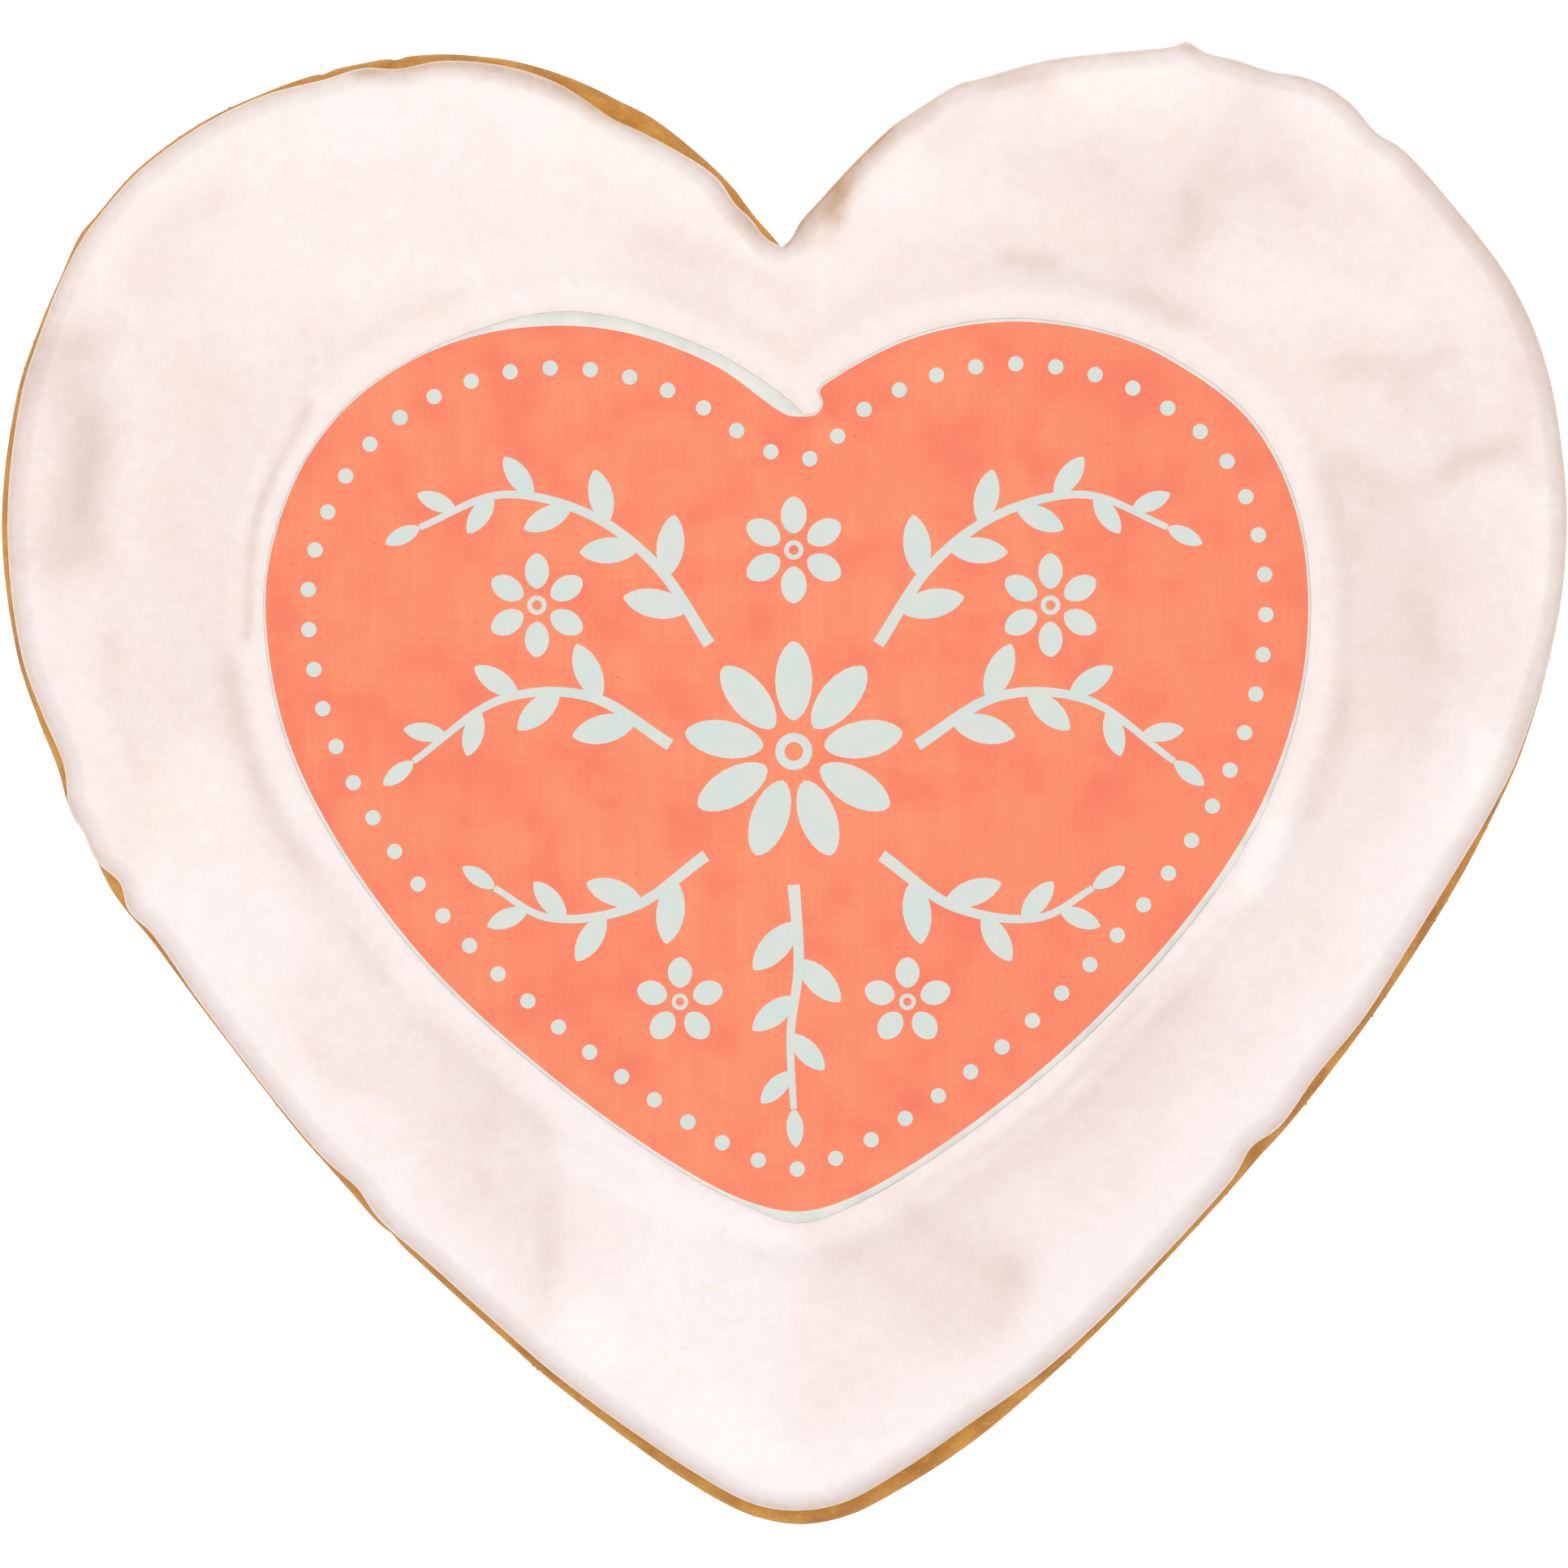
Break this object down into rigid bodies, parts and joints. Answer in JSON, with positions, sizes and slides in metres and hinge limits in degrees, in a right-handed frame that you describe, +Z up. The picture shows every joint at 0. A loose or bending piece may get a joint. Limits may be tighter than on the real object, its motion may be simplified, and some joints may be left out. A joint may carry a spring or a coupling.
{
  "type": "heart cookie",
  "caption": "Heart-shaped baked biscuit covered with pale pink poured icing and topped with a coral printed sugar-paper heart.",
  "frame": {"origin": "centre of the bounding box in plan, on the flat baked underside", "axes": "+Z up through the iced face, +Y from the tip towards the cleft, +X towards the right lobe as seen from above"},
  "size_m": [0.0965, 0.0912, 0.0091],
  "materials": {
    "baked_biscuit": "matte baked crumb",
    "poured_icing": "satin",
    "printed_sugar_paper": "matte print"
  },
  "bodies": {
    "root": {"biscuit": "baked_biscuit", "icing": "poured_icing", "sugar_paper": "printed_sugar_paper"}
  },
  "joints": []
}
